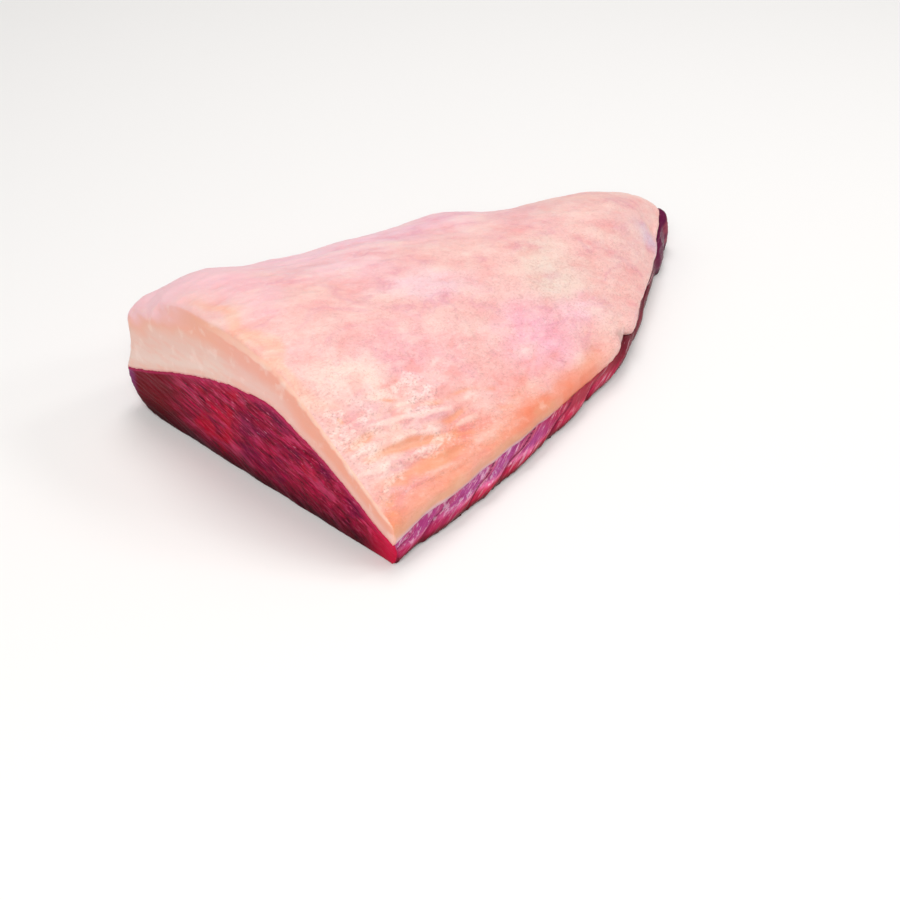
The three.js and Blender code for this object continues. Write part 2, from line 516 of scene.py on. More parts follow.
# Raw beef fat, trimmed by knife: pale and waxy, so light sinks in a little, moist enough to shine
# softly, pink where blood shows through and peach where it thins toward the rim. Light and shade
# are also painted in along its relief: paler crests and pinker or orange hollows on its lumps,
# puffs and folds, white highlights on its beads, a cream highlight along the cut's top edge and
# shade in the notch.
RAW_FAT = FleshFinish(
    name="Raw beef fat, knife-trimmed, waxy and moist",
    base="#F2BFB8",
    attributes=("cut", "seam_mm", "side_mm", "skin_mm", "crease", "bead", "puff", "wet", "lump"),
    grains={
        "cloud": Grain((11, 26, 14), detail=3, turn_deg=-18),
        "blush": Grain((5, 12, 7), detail=4, roughness=0.55, distortion=0.3, turn_deg=-18),
        "speckle": Grain((1.3, 2.2, 1.3), detail=3, turn_deg=-18),
        "vein": Grain((22, 40, 24), detail=4, distortion=0.8, turn_deg=-18),
        "streak": Grain((9, 60, 3), detail=3),
        "skin": Grain((2.2, 4.0, 2.4), detail=4, roughness=0.6, turn_deg=-18),
        "grit": Grain((0.8, 1.2, 0.8), turn_deg=-18),
        "crack": Grain((3.2, 7.0, 3.2), detail=3, roughness=0.6, distortion=0.9, turn_deg=-14),
    },
    tints=(
        Tint((-46, -50), (38, 160), "#FAC8DC", 0.72, -15),
        Tint((-26, -112), (30, 18), "#F6BCC6", 0.6, -10),
        Tint((-14, -70), (16, 60), "#F2B0BC", 0.5, -24),
        Tint((12, -46), (14, 42), "#F4CED6", 0.7, -18),
        Tint((2, 44), (22, 34), "#F1B0B4", 0.5, -14),
        Tint((30, 20), (22, 32), "#EACFC2", 1.0, 20),
        Tint((50, -16), (24, 34), "#F4ACC2", 0.8, 20),
        Tint((34, -84), (26, 44), "#F5ACB2", 0.6, -10),
        Tint((24, -116), (26, 14), "#F0A4A8", 0.5, -6),
        Tint((36, -112), (26, 23), "#FBE0D0", 0.7, -10),
        Tint((56, -50), (16, 40), "#F2A4A0", 0.4, 10),
        Tint((52, 14), (13, 22), "#F8C6D0", 0.8, 14),
        Tint((66, 12), (8, 20), "#F0A296", 0.3, 14),
        Tint((-20, -66), (14, 34), "#FAD2D8", 0.6, -20),
        Tint((48, 58), (10, 24), "#EE9A98", 0.55, 14),
        Tint((26, 88), (22, 34), "#EBBCB8", 0.6, 20),
        Tint((30, 106), (11, 15), "#D2B6D2", 0.7),
        # painted shade where the fat curls into the notch by the thin side
        Tint((67, 30), (5, 6), "#A8867C", 0.85),
        Tint((4, -132), (66, 8), "#F7B898", 0.7),
        Tint((57, -110), (13, 26), "#FAD2C0", 0.6, -6),
        Tint((54, -101), (9, 12), "#FBDACC", 0.6, -6),
        Tint((71, -92), (13, 44), "#F59A7C", 0.9, 4),
        Tint((72, -52), (12, 46), "#F28E70", 0.7, 10),
        Tint((77, -132), (12, 14), "#F59C6C", 0.9),
        Tint((69, -78), (5, 8), "#EE6A70", 0.4),
    ),
    glazes=layers(
        ("#E8858E", 0.28, ("cloud", 0.5, 0.72)),
        ("#FBDCCE", 0.36, ("cloud", 0.5, 0.3)),
        ("#E47C8C", 0.20, ("blush", 0.54, 0.74)),
        ("#FBE2D8", 0.20, ("blush", 0.46, 0.28)),
        ("#C8649A", 0.18, ("vein", 0.455, 0.5), ("vein", 0.545, 0.5), ("cloud", 0.42, 0.62)),
        ("#FFEDE6", 0.12, ("speckle", 0.52, 0.74)),
        ("#EF9A86", 0.12, ("speckle", 0.46, 0.28)),
        ("#B98A80", 0.30, ("grit", 0.46, 0.30), ("x", -0.03, 0.05)),
        ("#FFF2EA", 0.18, ("grit", 0.55, 0.7), ("x", -0.03, 0.05)),
        (
            "#C0807A",
            0.27,
            ("crack", 0.462, 0.5),
            ("crack", 0.538, 0.5),
            ("blush", 0.36, 0.54),
            ("x", -0.05, 0.04),
        ),
        # painted light and shade: paler on the lumps and ripples, pinker in the hollows between them
        ("#FDE2D6", 0.24, ("lump", 0.1, 0.9)),
        ("#EE8F88", 0.24, ("lump", -0.1, -0.9)),
        ("#EF8E62", 0.48, ("side_mm", 17.0, 8.0), ("y", 0.03, 0.0)),
        (
            "#EC7444",
            0.54,
            ("side_mm", 17.0, 8.0),
            ("y", -0.066, -0.048),
            ("y", -0.022, -0.034),
            ("blush", 0.36, 0.52),
        ),
        ("#EE7444", 0.66, ("side_mm", 12.0, 3.0), ("y", -0.034, -0.022), ("y", 0.014, -0.008)),
        ("#DCA884", 0.60, ("side_mm", 9.0, 4.0), ("y", -0.02, -0.038)),
        ("#EAC8D0", 0.85, OFF_CUT, ("seam_mm", 3.8, 1.4), ("y", -0.024, -0.038)),
        # painted light and shade: paler on the puffs, pinker between them
        ("#FDE2DA", 0.40, ("puff", 0.05, 0.5)),
        ("#EE8C80", 0.34, ("puff", -0.05, -0.5)),
        # painted shade: orange in the creases; painted highlight: paler on the crests of the folds
        ("#F09C70", 0.66, ("crease", 0.1, 0.8)),
        ("#FDE0D2", 0.55, ("crease", -0.05, -0.3)),
        # painted highlights: white on the wet beads
        ("#FFF1E6", 0.36, ("bead", 0.1, 0.9)),
        ("#FFF4EC", 0.20, ("bead", 0.1, 0.6), ("grit", 0.44, 0.60)),
        ("#A87C70", 0.26, ("bead", 0.05, 0.4), ("grit", 0.45, 0.32)),
        ("#F3AE96", 1.0, ON_CUT),
        ("#F2A47E", 0.7, ON_CUT, ("x", 0.0, 0.05)),
        ("#EEC4B6", 1.0, ON_CUT, ("skin_mm", 4.5, 13.0)),
        ("#F2D6CA", 0.7, ON_CUT, ("seam_mm", 14.0, 5.0), ("x", 0.035, 0.0)),
        ("#EFC4B4", 0.8, ON_CUT, ("seam_mm", 5.0, 2.0)),
        # painted highlight: a cream line along the rounded top edge of the cut
        ("#FDD9C0", 0.85, ON_CUT, ("skin_mm", 1.6, 0.4), ("x", -0.03, 0.01)),
        ("#F8C6CC", 0.9, ("skin_mm", 8.0, 3.0), ("x", -0.025, -0.06)),
        ("#F6A8A0", 0.3, ON_CUT, ("x", -0.02, 0.0)),
        ("#F3B09C", 0.35, ON_CUT, ("streak", 0.45, 0.7)),
        ("#FFE6DC", 0.30, ON_CUT, ("blush", 0.46, 0.3)),
        ("#E8808C", 0.75, ON_CUT, ("seam_mm", 1.7, 0.3)),
    ),
    bumps=(("skin", 0.14), ("speckle", 0.04)),
    roughness=(0.52, 0.3),
    specular=0.4,
    coat=0.15,
    coat_roughness=0.24,
    glow=0.3,
    glow_mm=1.3,
    glow_spread=(1.0, 0.45, 0.35),
)

# Raw beef: deep crimson fibres on the cut, violet under the thin silverskin of the sides, with a
# thin film of moisture that makes a few small sharp highlights. Most of its highlights are painted
# glints, flecks and streaks, and shade is painted at its foot, in its grooves and under the fat.
RAW_LEAN = FleshFinish(
    name="Raw beef, fibrous on the cut, silverskinned on its sides",
    base="#940C32",
    attributes=("along_mm", "across_mm", "cut", "seam_mm", "relief", "twist", "wet"),
    grains={
        "fibre": Grain((12, 1.5, 1), detail=4, roughness=0.62, distortion=0.5, on_fibres=True),
        "bundle": Grain((24, 4.6, 1), detail=4, distortion=0.8, on_fibres=True),
        "highlight_fleck": Grain((5.0, 0.9, 1), on_fibres=True),
        "strand": Grain((20, 1.9, 1), detail=4, roughness=0.62, on_fibres=True),
        "band": Grain((22, 6.0, 1), detail=3, on_fibres=True),
        "blotch": Grain((16, 16, 10), detail=3),
        "fine": Grain((9, 0.8, 1), detail=3, on_fibres=True),
        "hair": Grain((8, 0.8, 1), detail=3, roughness=0.6, distortion=0.3, on_fibres=True),
        "glint": Grain((2.6, 1.0, 1), on_fibres=True),
        "scrap": Grain((5, 2.4, 1), detail=4, roughness=0.65, on_fibres=True),
    },
    glazes=layers(
        ("#4C0018", 0.85, ("fibre", 0.5, 0.32)),
        ("#C2164E", 0.85, ("fibre", 0.5, 0.68)),
        ("#5A0030", 0.60, ("bundle", 0.46, 0.32)),
        ("#D04470", 0.60, ("bundle", 0.52, 0.68)),
        ("#C80828", 0.50, ("blotch", 0.57, 0.72), ON_CUT),
        ("#58003C", 0.45, ("blotch", 0.44, 0.3), ON_CUT),
        # painted highlight: pinker along the cut's top edge by the fat
        ("#C83A66", 0.35, ("seam_mm", 5.0, 1.0), ON_CUT),
        # painted highlights: small pink flecks, higher up on the lean
        ("#E88CA6", 0.45, ("highlight_fleck", 0.62, 0.74), ("z", 0.01, 0.03)),
        ("#340010", 0.60, ("hair", 0.46, 0.32), ON_CUT),
        ("#DC4E74", 0.50, ("hair", 0.55, 0.7), ON_CUT),
        ("#64000A", 0.85, ("x", -0.03, -0.06), ON_CUT),
        ("#8E4684", 0.60, ("x", -0.073, -0.079), ("y", -0.13, -0.134)),
        # painted light along the lean's top edge on the cut, over the thin shadow of the gap
        ("#B8305C", 0.80, ("seam_mm", 1.8, 0.6), ("y", -0.133, -0.1355)),
        # painted shade: darker toward the foot of the cut
        ("#200006", 0.85, ("z", 0.014, 0.0), ON_CUT),
        ("#D81440", 0.70, ("x", 0.06, 0.08), ON_CUT),
        ("#E03C5E", 0.95, OFF_CUT),
        ("#EE7492", 0.45, OFF_CUT, ("band", 0.52, 0.68)),
        ("#F27EB0", 0.85, OFF_CUT, ("seam_mm", 5.6, 3.8), ("y", -0.03, -0.06)),
        ("#DC2048", 0.75, OFF_CUT, ("seam_mm", 4.8, 7.0), ("y", -0.03, -0.06)),
        # painted shade: darker along the top of the thin side, under the fat's rim
        ("#963850", 0.60, OFF_CUT, ("seam_mm", 4.5, 1.5)),
        (
            "#9A4090",
            0.58,
            OFF_CUT,
            ("seam_mm", 4.0, 2.0),
            ("twist", -0.3, 0.05),
            ("y", -0.025, -0.055),
        ),
        # painted shade in the grooves between the strands
        ("#9A1A44", 0.45, OFF_CUT, ("relief", -0.1, -0.45)),
        ("#6A0E3E", 0.38, OFF_CUT, ("hair", 0.46, 0.34)),
        ("#F8BCD0", 0.50, OFF_CUT, ("hair", 0.55, 0.68)),
        # painted shade in the creases between the twists
        ("#560834", 0.90, OFF_CUT, ("twist", -0.3, -0.6)),
        ("#F2CCE0", 0.60, OFF_CUT, ("strand", 0.59, 0.68), ("seam_mm", 9.0, 6.0)),
        (
            "#FFEEF4",
            0.75,
            OFF_CUT,
            ("glint", 0.60, 0.70),
            ("z", 0.005, 0.009),
            ("seam_mm", 2.5, 4.5),
            ("y", 0.0, -0.02),
        ),
        ("#A83470", 0.55, OFF_CUT, ("y", -0.094, -0.106)),
        (
            "#EACADC",
            0.44,
            OFF_CUT,
            ("y", -0.062, -0.082),
            ("scrap", 0.51, 0.60),
            ("seam_mm", 5.5, 3.5),
        ),
        # painted shade: darker toward the foot of the sides
        ("#96203E", 0.50, OFF_CUT, ("z", 0.009, 0.005)),
        ("#8E1E3E", 0.60, OFF_CUT, ("x", 0.02, -0.02)),
        # painted shade: a dark strip along the foot
        ("#74121E", 0.80, OFF_CUT, ("z", 0.0055, 0.003)),
        # painted shade under the fat's rim, toward the notch
        ("#A03C44", 0.70, OFF_CUT, ("y", -0.03, -0.01), ("seam_mm", 4.5, 2.0)),
        # darker wine colour past the notch, partly painted shade under the overhanging fat
        ("#5E1624", 0.85, OFF_CUT, ("y", 0.006, 0.034)),
        ("#8E3A48", 0.70, ("y", 0.01, 0.04), ("band", 0.48, 0.62)),
        # painted highlights: pale streaks on the strands past the notch
        ("#D8A8B0", 0.70, ("y", 0.01, 0.04), ("strand", 0.57, 0.65)),
        ("#5A1440", 0.80, OFF_CUT, ("y", 0.095, 0.11)),
        ("#A04A58", 0.70, ("y", 0.12, 0.13), ("band", 0.45, 0.6)),
        # painted shade: darkest where the lean meets the floor
        ("#3A0414", 0.80, OFF_CUT, ("z", 0.0045, 0.0)),
    ),
    bumps=(("fine", 0.2), ("strand", 0.22)),
    roughness=(0.4, 0.25),
    specular=0.04,
    coat=0.04,
    coat_roughness=0.12,
    glow=0.1,
    glow_mm=1.2,
    glow_spread=(1.0, 0.2, 0.2),
)


# ------------------------------------------------------------------ flesh


@dataclass
class Flesh:
    """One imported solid, copied and sculpted as soft flesh."""

    node: str
    neighbour: str
    slot: Slot
    finish: FleshFinish
    merge_mm: float = 0.01
    face_mm: float = 0.95  # an even skin this fine carries folds and fibres of 2 mm and more
    smoothing: int = 3
    overlap_mm: float = 0.0  # how far the hidden faces reach across the gap, so no dark line shows
    overlap_at_mm: Span = (1.6, 0.6)  # which faces are hidden, by how far the neighbour is
    edge_wave_mm: float = 0.55  # how much the line between lean and fat wanders
    edge_waves: Lumps = Lumps((7, 9, 60), 21, 3)
    edge_sink_mm: float = 2.9  # how far it sinks on the cut toward the front corner
    edge_sink_across_mm: Span = (12, 32)
    edge_sink_depth_mm: Span = (24, 2)
    edge_sink_reach_mm: Span = (9.0, 0.5)
    hidden_gap_mm: float = 1.3  # faces this near the neighbour don't show
    hidden_depth_mm: float = 3.5  # and the ones this far from what shows are thinned out
    hidden_share: float = 0.12
    tip_dip: Spot = Spot((26, 120), (15, 18))  # both thin toward the tip's thin side
    tip_dip_mm: float = 3.2
    tip_dip_height_mm: Span = (2.0, 22.0)
    piece: bpy.types.Object = field(init=False)

    def build(self) -> None:
        """Makes the whole piece, from the copy to its material."""
        self.block_out()
        self.give_even_skin()
        self.thin_out_hidden_faces()
        self.refine()
        self.sculpt()
        self.dress()
        self.piece.data.calc_loop_triangles()
        log.info("%s: %d triangles", self.node, len(self.piece.data.loop_triangles))

    def block_out(self) -> None:
        """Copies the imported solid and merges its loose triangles."""
        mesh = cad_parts[self.node].data.copy()
        self.piece = bpy.data.objects.new(self.node + "_flesh", mesh)
        bpy.context.scene.collection.objects.link(self.piece)
        mesh.materials.clear()
        self.choose()
        bpy.ops.object.mode_set(mode="EDIT")
        bpy.ops.mesh.select_all(action="SELECT")
        bpy.ops.mesh.remove_doubles(threshold=self.merge_mm * MM)
        bpy.ops.object.mode_set(mode="OBJECT")

    def choose(self) -> None:
        """Makes the piece the only one that operators act on."""
        bpy.ops.object.select_all(action="DESELECT")
        self.piece.select_set(True)
        bpy.context.view_layer.objects.active = self.piece

    def give_even_skin(self) -> None:
        """Gives the piece small even faces and softens the steps that they leave."""
        self.choose()
        remesh = self.piece.modifiers.new("Even skin", "REMESH")
        remesh.mode = "VOXEL"
        remesh.voxel_size = self.face_mm * MM
        bpy.ops.object.modifier_apply(modifier=remesh.name)
        self.drop_crumbs()
        smooth = self.piece.modifiers.new("Soft skin", "SMOOTH")
        smooth.factor = 0.5
        smooth.iterations = self.smoothing
        bpy.ops.object.modifier_apply(modifier=smooth.name)

    def drop_crumbs(self) -> None:
        """Deletes the loose crumbs that the even skin leaves along thin edges."""
        self.choose()
        bpy.ops.object.mode_set(mode="EDIT")
        bpy.ops.mesh.select_all(action="SELECT")
        bpy.ops.mesh.separate(type="LOOSE")
        bpy.ops.object.mode_set(mode="OBJECT")
        parts = sorted(bpy.context.selected_objects, key=lambda part: len(part.data.vertices))
        self.piece = parts.pop()
        for crumb in parts:
            bpy.data.objects.remove(crumb)
        self.piece.name = self.node + "_flesh"
        self.choose()

    def thin_out_hidden_faces(self) -> None:
        """Merges small faces deep between the lean and the fat, where nothing shows."""
        places = self.places()
        hidden = self.seam(places) < self.hidden_gap_mm
        shown = np.flatnonzero(~hidden)
        tree = kdtree.KDTree(len(shown))
        for i in shown:
            tree.insert(places[i], i)
        tree.balance()
        deep = hidden.copy()
        for i in np.flatnonzero(hidden):
            deep[i] = tree.find(places[i])[2] > self.hidden_depth_mm
        self.pick_faces(deep)
        bpy.ops.object.mode_set(mode="EDIT")
        bpy.ops.mesh.decimate(ratio=self.hidden_share)
        bpy.ops.object.mode_set(mode="OBJECT")

    def refine(self) -> None:
        """Halves the faces where the finest relief shows."""
        self.pick_faces(self.finest(self.places(), self.normals()))
        bpy.ops.object.mode_set(mode="EDIT")
        bpy.ops.mesh.subdivide(number_cuts=1)
        bpy.ops.object.mode_set(mode="OBJECT")

    def finest(self, places: Array, normals: Array) -> Array:
        """For each vertex, whether the finest relief shows there; each kind has its own way."""
        raise NotImplementedError

    def pick_faces(self, wanted: Array) -> None:
        """Selects the faces whose corners are all wanted.

        Args:
            wanted: for each vertex, whether it is.
        """
        self.choose()
        bpy.ops.object.mode_set(mode="EDIT")
        bpy.ops.mesh.select_mode(type="FACE")
        bpy.ops.mesh.select_all(action="DESELECT")
        bpy.ops.object.mode_set(mode="OBJECT")
        for face in self.piece.data.polygons:
            face.select = all(wanted[i] for i in face.vertices)

    def places(self) -> Array:
        """The place of each vertex in mm, one row for a vertex."""
        return rows(self.piece.data.vertices, "co") / MM

    def normals(self) -> Array:
        """The outward direction at each vertex, one row for a vertex."""
        return rows(self.piece.data.vertex_normals, "vector")

    def put(self, places: Array) -> None:
        """Moves every vertex to its place in mm."""
        self.piece.data.vertices.foreach_set("co", (places * MM).astype(np.float32).ravel())
        self.piece.data.update()

    def paint(self, **values: Array) -> None:
        """Keeps numbers for each vertex, which the material reads by their names."""
        for name, numbers in values.items():
            layer = self.piece.data.attributes.new(name, "FLOAT", "POINT")
            layer.data.foreach_set("value", numbers.astype(np.float32))

    def seam(self, places: Array) -> Array:
        """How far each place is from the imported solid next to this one, in mm."""
        return distance(places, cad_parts[self.neighbour].data)

    def close_seam(self, places: Array, normals: Array, seam: Array, cut: Array) -> Array:
        """Lets the hidden side reach over the gap, with an edge that wanders and sinks a little.

        Args:
            places: the vertices' places in mm.
            normals: their outward directions.
            seam: how far each is from the neighbour.
            cut: how much each is on the cut.

        Returns:
            How far each vertex moves, in mm.
        """
        near = rise(seam, *self.overlap_at_mm)
        move = normals * (near * self.overlap_mm * (1 - cut))[:, None]
        move[:, 2] -= near * self.overlap_mm * cut
        move[:, 2] += near * self.edge_wave_mm * self.edge_waves.at(places)
        by_corner = rise(places[:, 0], *self.edge_sink_across_mm)
        by_corner *= near_cut(places, self.edge_sink_depth_mm)
        move[:, 2] -= self.edge_sink_mm * by_corner * rise(seam, *self.edge_sink_reach_mm)
        return move

    def tip_sink(self, places: Array) -> Array:
        """How far each place sinks with the tip's thin side, in mm."""
        height = rise(places[:, 2], *self.tip_dip_height_mm)
        return self.tip_dip_mm * self.tip_dip.share(places) * height

    def sculpt(self) -> None:
        """Shapes the skin; each kind of flesh has its own way."""
        raise NotImplementedError

    def dress(self) -> None:
        """Gives the piece its material and its place in the frame."""
        self.choose()
        bpy.ops.object.shade_smooth()
        self.piece.data.materials.append(self.finish.make())
        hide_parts(self.node)
        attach(self.piece, "root")


@dataclass
class FatCap(Flesh):
    """The thick cap of fat, smooth and waxy, with wet folds by the front corner."""

    node: str = "fat_cap"
    neighbour: str = "lean_meat"
    slot: Slot = Slot.FAT
    finish: FleshFinish = RAW_FAT
    overlap_mm: float = 0.5
    folded: Spot = Spot((62, -104), (26, 52), -5)  # where the cap is wrinkled
    beaded: tuple[Spot, ...] = (  # where the wet surface is beaded
        Spot((50, -125), (18, 17)),
        Spot((69, -125), (9, 13)),
        Spot((49, -91), (12, 15)),
        Spot((66, -100), (6, 20)),
    )
    folds: tuple[Fold, ...] = (  # the creases that show most
        Fold((53.5, -134), (54.5, -116), 2.0, 0.9),
        Fold((60.5, -128), (65, -86), 2.0, 1.1),
        Fold((67.5, -133), (70.5, -112), 1.8, 0.7),
        Fold((70.5, -120), (72, -80), 2.4, 0.9),
        Fold((67.3, -102), (68, -89), 1.4, 0.5),
        Fold((43, -129), (46.5, -126.5), 1.0, 0.9),
        Fold((45, -124), (47, -112), 1.6, 0.4),
        Fold((45, -108), (49.5, -99), 1.2, 0.6),
        Fold((53, -95), (56, -78), 1.4, 0.5),
        Fold((61.5, -92), (62, -72), 1.6, 0.6),
        Fold((55, -78), (57, -61), 1.3, 0.45),
        Fold((57, -62), (62, -50), 1.4, 0.45),
        Fold((66, -86), (70, -74), 1.5, 0.5),
        Fold((66, -64), (70, -48), 1.7, 0.45),
    )
    finest_from: float = 0.2
    fold_wander_mm: float = 1.8
    fold_wander: Lumps = Lumps((12, 22, 12), 11, 2)
    small_fold_mm: float = 0.4
    small_fold_spacing_mm: float = 6.5
    small_fold_start_mm: float = 4.1  # puts the small folds in step with the large ones
    small_fold_patches: Lumps = Lumps((9, 20, 9), 20, step=(-0.3, 0.4))
    small_fold_shade: float = 0.3
    fold_lean: float = 0.16  # how far the folds lean toward the thin side on their way to the tip
    fold_wet: float = 0.7
    off_rim_mm: Span = (6.0, 12.0)  # how far from the thin side the small folds and beads start
    bead_mm: float = 0.24
    beads: Beads = Beads(1.8, 0.4, 12)
    bead_patches: Lumps = Lumps((4, 7, 4), 15, 2, step=(-0.4, 0.3))
    bead_ground: float = 0.6  # how much of a beaded patch rises as one
    puffed: Spot = Spot((60, -66), (32, 84), -4)  # where the surface is softly quilted
    puff_mm: float = 0.6
    puffs: Beads = Beads(6.2, 0.5, 45)
    puff_ground: float = 0.2
    puff_off_rim_mm: Span = (4.0, 12.0)
    puff_zones: Lumps = Lumps((16, 24, 16), 44, 2, step=(-0.6, 0.2))
    puff_patches: Lumps = Lumps((5, 9, 5), 46, 2, step=(-0.5, 0.3))
    jumble_mm: float = 1.6  # how far beads and puffs are pushed about, so that none is regular
    jumble: tuple[Lumps, ...] = tuple(Lumps((4, 4, 4), seed) for seed in (41, 42, 43))
    swell_mm: float = 0.8
    swells: Lumps = Lumps((34, 44, 34), 13)
    lump_mm: float = 0.45
    lumps: Lumps = Lumps((9, 15, 9), 14, 3, -18)
    ripple_mm: float = 0.22
    ripples: Lumps = Lumps((3.5, 11, 4), 18, 3, -18)
    ripple_shade: float = 0.4
    back_dip: Spot = Spot((-50, -72), (34, 34))  # the cap sinks behind the thick end's shoulder
    back_dip_mm: float = 2.4
    cut_facing: Span = (0.55, 0.9)  # how squarely a face looks out where it is on the cut
    cut_depth_mm: Span = (3.0, 1.0)  # and how near the cut's plane it is
    foot_depth_mm: Span = (1.6, 0.8)  # the same for the round edge along the seam
    foot_mm: Span = (5.0, 2.5)  # how far that edge reaches from the seam
    open_mm: Span = (0.8, 4.0)  # relief fades in this far from the seam
    edge_mm: Triple = (0.0, 3.0, -0.6)  # rounds the cut's thick end
    edge_from_mm: Span = (-18, -45)  # where that starts on the way to the thick side
    edge_to_mm: Span = (-82, -66)  # and where it ends
    edge_reach_mm: Pair = (8, 13)  # down from the top and back from the cut
    shoulder_at: Pair = (-72.0, 48.0)  # the thick end's shoulder, across and up
    shoulder_mm: Triple = (-2.8, 0.0, 3.6)  # how far it swells
    shoulder_reach_mm: Span = (16.0, 2.0)
    shoulder_depth_mm: Span = (26, 4)
    rim_reach_mm: Span = (14.0, 4.0)
    rim_wave_mm: float = 0.4
    rim_waves: Lumps = Lumps((60, 9, 60), 16, 2)
    rim_in: tuple[Pair, ...] = (  # a place along the piece, how far the rim is in
        (-137, 0.3), (-120, 2.2), (-100, 1.8), (-84, 2.6), (-60, 3.0), (-14, 2.2), (4, 1.0),
        (18, 0.3), (28, 0.6), (38, -1.0), (52, -0.8), (62, 0.8), (84, -0.3), (98, 0.8),
        (112, 1.6),
    )
    peach_drift: Lumps = Lumps((10, 20, 10), 22, 3)  # moves the colours along the rim about
    peach_drift_mm: float = 1.6
    peach_lump_mm: float = 2.0
    skin_drift: Lumps = Lumps((7, 60, 5), 19, 3)  # moves the colours under the cut's top about
    skin_drift_mm: float = 1.4

    def finest(self, places: Array, normals: Array) -> Array:
        """The folded corner, seen from above."""
        return np.minimum(self.folded.share(places), normals[:, 2]) > self.finest_from

    def folds_and_beads(self, places: Array, side: Array) -> dict[str, Array]:
        """Lays out the folds, beads and quilting.

        Args:
            places: the vertices' places in mm.
            side: how far each is from the thin side.

        Returns:
            By name, for each vertex: the depth of the creases, the small folds, the beads, the
            puffs, and how wet it is.
        """
        folded = self.folded.share(places)
        off_rim = rise(side, *self.off_rim_mm)
        beaded = np.max([spot.share(places) for spot in self.beaded], axis=0)
        beaded *= off_rim * self.bead_patches.at(places)
        wandered = places.copy()
        wandered[:, 0] += self.fold_wander_mm * self.fold_wander.at(places)
        phase = wandered[:, 0] - self.fold_lean * places[:, 1] - self.small_fold_start_mm
        small = np.sin(2 * np.pi * phase / self.small_fold_spacing_mm) * (folded * off_rim)
        jumbled = places + self.jumble_mm * np.stack([way.at(places) for way in self.jumble], 1)
        ground = self.bead_ground
        puffed = self.puffed.share(places) * rise(side, *self.puff_off_rim_mm)
        puffed *= self.puff_zones.at(places)
        puff = puffed * (self.puffs.at(jumbled) - self.puff_ground)
        return {
            "crease": np.sum([fold.press(wandered) for fold in self.folds], axis=0),
            "small": small,
            "bead": beaded * (ground + (1 - ground) * self.beads.at(jumbled)),
            "puff": puff * self.puff_patches.at(places),
            "wet": np.maximum(self.fold_wet * folded, beaded),
        }

    def swell_end(self, places: Array, skin: Array) -> Array:
        """Rounds the cut's thick end and swells the shoulder above it.

        Args:
            places: the vertices' places in mm.
            skin: how far each is from the top.

        Returns:
            How far each vertex moves, in mm.
        """
        x, y, z = places.T
        down, back = self.edge_reach_mm
        edge = rise(x, *self.edge_from_mm) * rise(x, *self.edge_to_mm)
        edge *= np.clip(1 - skin / down, 0, 1) ** 2 * np.clip(1 - (y - CUT_Y) / back, 0, 1) ** 2
        off_shoulder = np.hypot(x - self.shoulder_at[0], z - self.shoulder_at[1])
        shoulder = rise(off_shoulder, *self.shoulder_reach_mm)
        shoulder *= near_cut(places, self.shoulder_depth_mm)
        return edge[:, None] * self.edge_mm + shoulder[:, None] * self.shoulder_mm

    def sculpt(self) -> None:
        """Raises swells, folds and beads on the cap and keeps where they are."""
        places, normals = self.places(), self.normals()
        seam = self.seam(places)
        side = distance(places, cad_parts[self.neighbour].data, THIN_SIDE)
        skin = distance(places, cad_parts[self.node].data, TOP)
        cut = rise(-normals[:, 1], *self.cut_facing) * near_cut(places, self.cut_depth_mm)
        foot = near_cut(places, self.foot_depth_mm) * rise(seam, *self.foot_mm)
        cut = np.maximum(cut, foot)
        marks = self.folds_and_beads(places, side)
        end = self.swell_end(places, skin)
        lump, ripple = self.lumps.at(places), self.ripples.at(places)
        relief = (
            self.swell_mm * self.swells.at(places)
            + self.lump_mm * lump
            + self.ripple_mm * ripple
            + self.small_fold_mm * marks["small"]
            + self.bead_mm * marks["bead"]
            + self.puff_mm * marks["puff"]
            - marks["crease"]
            - self.back_dip_mm * self.back_dip.share(places)
        )
        places += normals * (relief * rise(seam, *self.open_mm) * (1 - cut))[:, None]
        drawn_in = np.interp(places[:, 1], *zip(*self.rim_in))
        drawn_in += self.rim_wave_mm * self.rim_waves.at(places)
        places[:, 0] -= rise(side, *self.rim_reach_mm) * drawn_in
        places += end
        places += self.close_seam(places, normals, seam, cut)
        places[:, 2] -= self.tip_sink(places)
        self.put(places)
        small = self.small_fold_shade * marks["small"] * self.small_fold_patches.at(places)
        drift = self.peach_lump_mm * lump + self.peach_drift_mm * self.peach_drift.at(places)
        self.paint(
            crease=marks["crease"] - small,
            bead=marks["bead"],
            puff=marks["puff"],
            wet=marks["wet"],
            lump=lump + self.ripple_shade * ripple,
            cut=cut,
            seam_mm=seam,
            side_mm=side + drift,
            skin_mm=skin + self.skin_drift_mm * self.skin_drift.at(places),
        )


